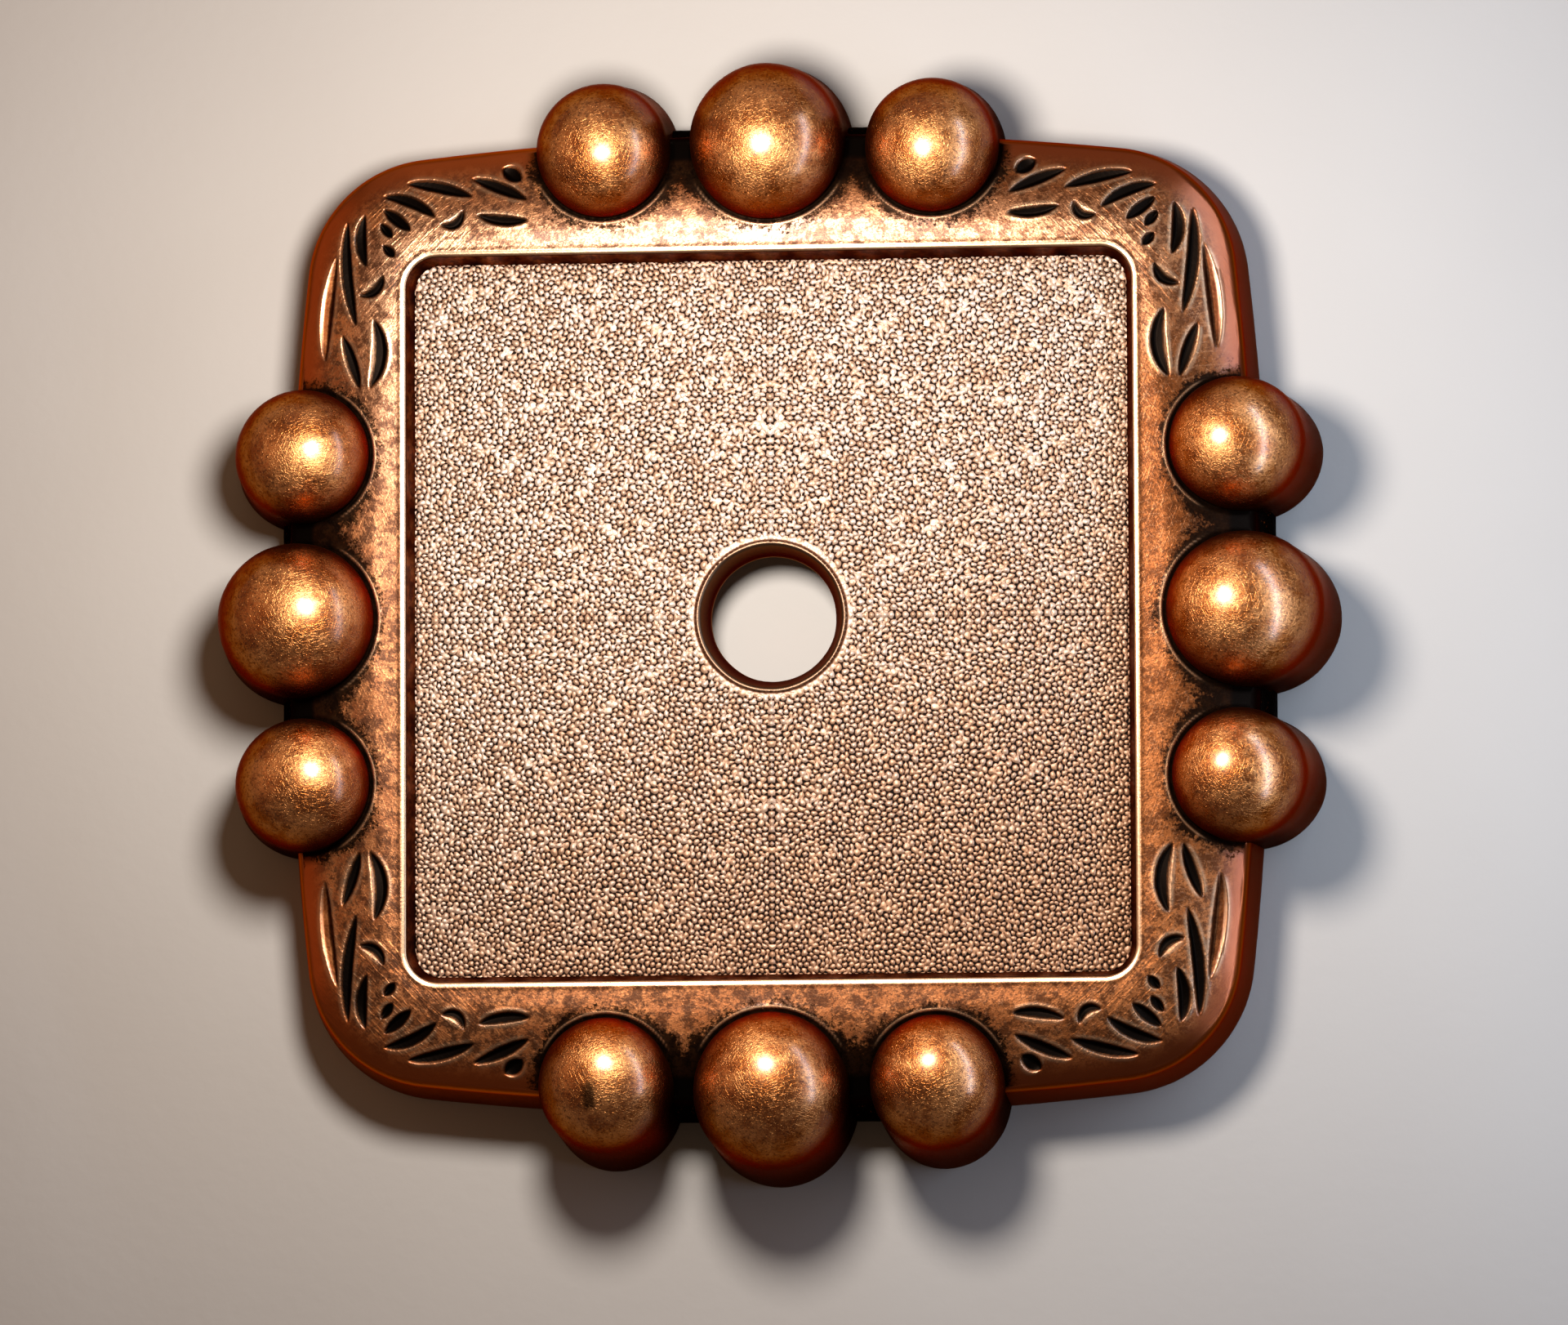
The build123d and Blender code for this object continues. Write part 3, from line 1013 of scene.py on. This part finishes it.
def build_back(material):
    """Make the rim that rests on the surface, the hollow's wall and the back of the floor."""
    half = np.concatenate([np.linspace(0, 1, 30)[:-1], np.linspace(1, 2, 14)])
    s = np.concatenate([half, 4 - half[-2::-1]])
    outer = cushion(s, wall_flare - foot_radius)
    edge = rounded_square(s, hollow_half, hollow_corner)
    turn = np.linspace(0, pi / 2, len(s))
    rows = []
    for share in np.linspace(0, 1, 9):
        x = outer[0] + (edge[0] - outer[0]) * share
        y = outer[1] + (edge[1] - outer[1]) * share
        rows.append((x, y, 0 * s + 0.04 * smooth(share, 0.93, 1.0)))
    for z in np.linspace(0.1, back_hollow - 0.12, 6):
        rows.append((*edge, 0 * s + z))
    for share in np.linspace(0, 1, 26)[1:]:
        x = edge[0] + (bore_radius * np.cos(turn) - edge[0]) * share
        y = edge[1] + (bore_radius * np.sin(turn) - edge[1]) * share
        rows.append((x, y, back_hollow + 0.02 * ripple(x, y, 4.0, 9) * smooth(share, 1.0, 0.9)))
    points = np.array(rows).transpose(0, 2, 1).reshape(-1, 3)
    faces = grid_faces(len(rows), len(s))[:, ::-1]
    for name, sides in quarters.items():
        make_piece("back_" + name, *mirrored(points, faces, *sides), material)


def build_webs(material):
    """Make the low web between neighbouring berries on each side."""
    along = np.linspace(-small_offset, small_offset, 81)
    section = [(web_outer + 0.05, web_foot)]
    for a in np.linspace(0, pi / 2, 12):
        section.append((web_outer - 1.3 * (1 - cos(a)), web_height - 1.7 * (1 - sin(a))))
    section.append((large_inner, web_height + 0.5))
    for side in range(4):
        rows = []
        for out, z in section:
            dip = 0.12 * ripple(along, along * 0, 1.8, 90 + side) if z > 1 else 0 * along
            rows.append(np.stack([out + 0 * along, along, z + dip], -1))
        points = np.array(rows).reshape(-1, 3) @ np.array(Matrix.Rotation(side * pi / 2, 3, "Z")).T
        faces = grid_faces(len(rows), len(along))
        make_piece("web_%d" % (side + 1), points, faces, material)


# Stage, light and camera
def build_stage():
    """Lay the pale floor."""
    bpy.ops.mesh.primitive_grid_add(x_subdivisions=8, y_subdivisions=8, size=1.2)
    floor = bpy.context.object
    floor.name = "stage_floor"
    floor.data.materials.append(stage_material())


# A near key above, a cool strip at the right and three weak fills, under a dim sky
Light = namedtuple("Light", "name place aim size power color")
lights = [
    Light("key", (-2.3, 10.1, 40.6), (-1, 4, 3), (13, 13), 0.029, (1.0, 0.94, 0.88)),
    Light("strip", (34.7, 4, 20), (10, 0, 4), (64, 2.6), 0.0100, (0.60, 0.78, 1.0)),
    Light("haze", (85, 0, 46), (0, 0, 3), (80, 50), 0.0036, (0.84, 0.62, 1.0)),
    Light("warm", (-75, 20, 45), (0, 0, 3), (90, 60), 0.0060, (1.0, 0.42, 0.14)),
    Light("top", (0, 85, 38), (0, 0, 3), (110, 56), 0.0070, (1.0, 0.64, 0.38)),
]
sky_color = (1.0, 0.66, 0.44, 1)
sky_strength = 0.085


def add_light(row):
    """Add one soft light that faces a point: round where both its sizes are the same."""
    data = bpy.data.lights.new(row.name, "AREA")
    data.shape = "ELLIPSE" if row.size[0] == row.size[1] else "RECTANGLE"
    data.size, data.size_y = row.size[0] * MM, row.size[1] * MM
    data.energy = row.power
    data.color = row.color
    light = bpy.data.objects.new(row.name, data)
    bpy.context.scene.collection.objects.link(light)
    light.location = Vector(row.place) * MM
    direction = (Vector(row.aim) - Vector(row.place)).normalized()
    light.rotation_euler = direction.to_track_quat("-Z", "Y").to_euler()
    light.visible_camera = False


def build_lights():
    """Set the lights and the sky."""
    for row in lights:
        add_light(row)
    world = bpy.data.worlds.new("studio")
    world.use_nodes = True
    world.node_tree.nodes["Background"].inputs["Color"].default_value = sky_color
    world.node_tree.nodes["Background"].inputs["Strength"].default_value = sky_strength
    bpy.context.scene.world = world
    bpy.context.scene.view_settings.view_transform = "Standard"


# The camera's place and aim, measured from the middle of the face
camera_place = (30.4, -30.4, 320)
camera_aim = (0.516, -1.640, 0)
camera_roll = radians(-0.251)
camera_lens = 221.47


def build_camera():
    """Look down from a little to the lower right, as the photograph does."""
    middle = Vector((0, 0, face_height))
    place = middle + Vector(camera_place)
    aim = middle + Vector(camera_aim)
    forward = (aim - place).normalized()
    right = forward.cross(Vector((0, 1, 0))).normalized()
    up = right.cross(forward)
    across = right * cos(camera_roll) + up * sin(camera_roll)
    upward = up * cos(camera_roll) - right * sin(camera_roll)
    data = bpy.data.cameras.new("camera")
    data.sensor_width = 36
    data.sensor_fit = "HORIZONTAL"
    data.lens = camera_lens
    data.clip_start, data.clip_end = 0.01, 10
    camera = bpy.data.objects.new("camera", data)
    bpy.context.scene.collection.objects.link(camera)
    turn = Matrix((across, upward, -forward)).transposed().to_4x4()
    camera.matrix_world = Matrix.Translation(place * MM) @ turn
    bpy.context.scene.camera = camera


build_camera()
build_stage()
build_lights()
build_frame(frame_material())
build_pebbles(pebble_material())
build_berries(berry_material())
build_webs(web_material())
build_bore(bore_material())
build_back(back_material())
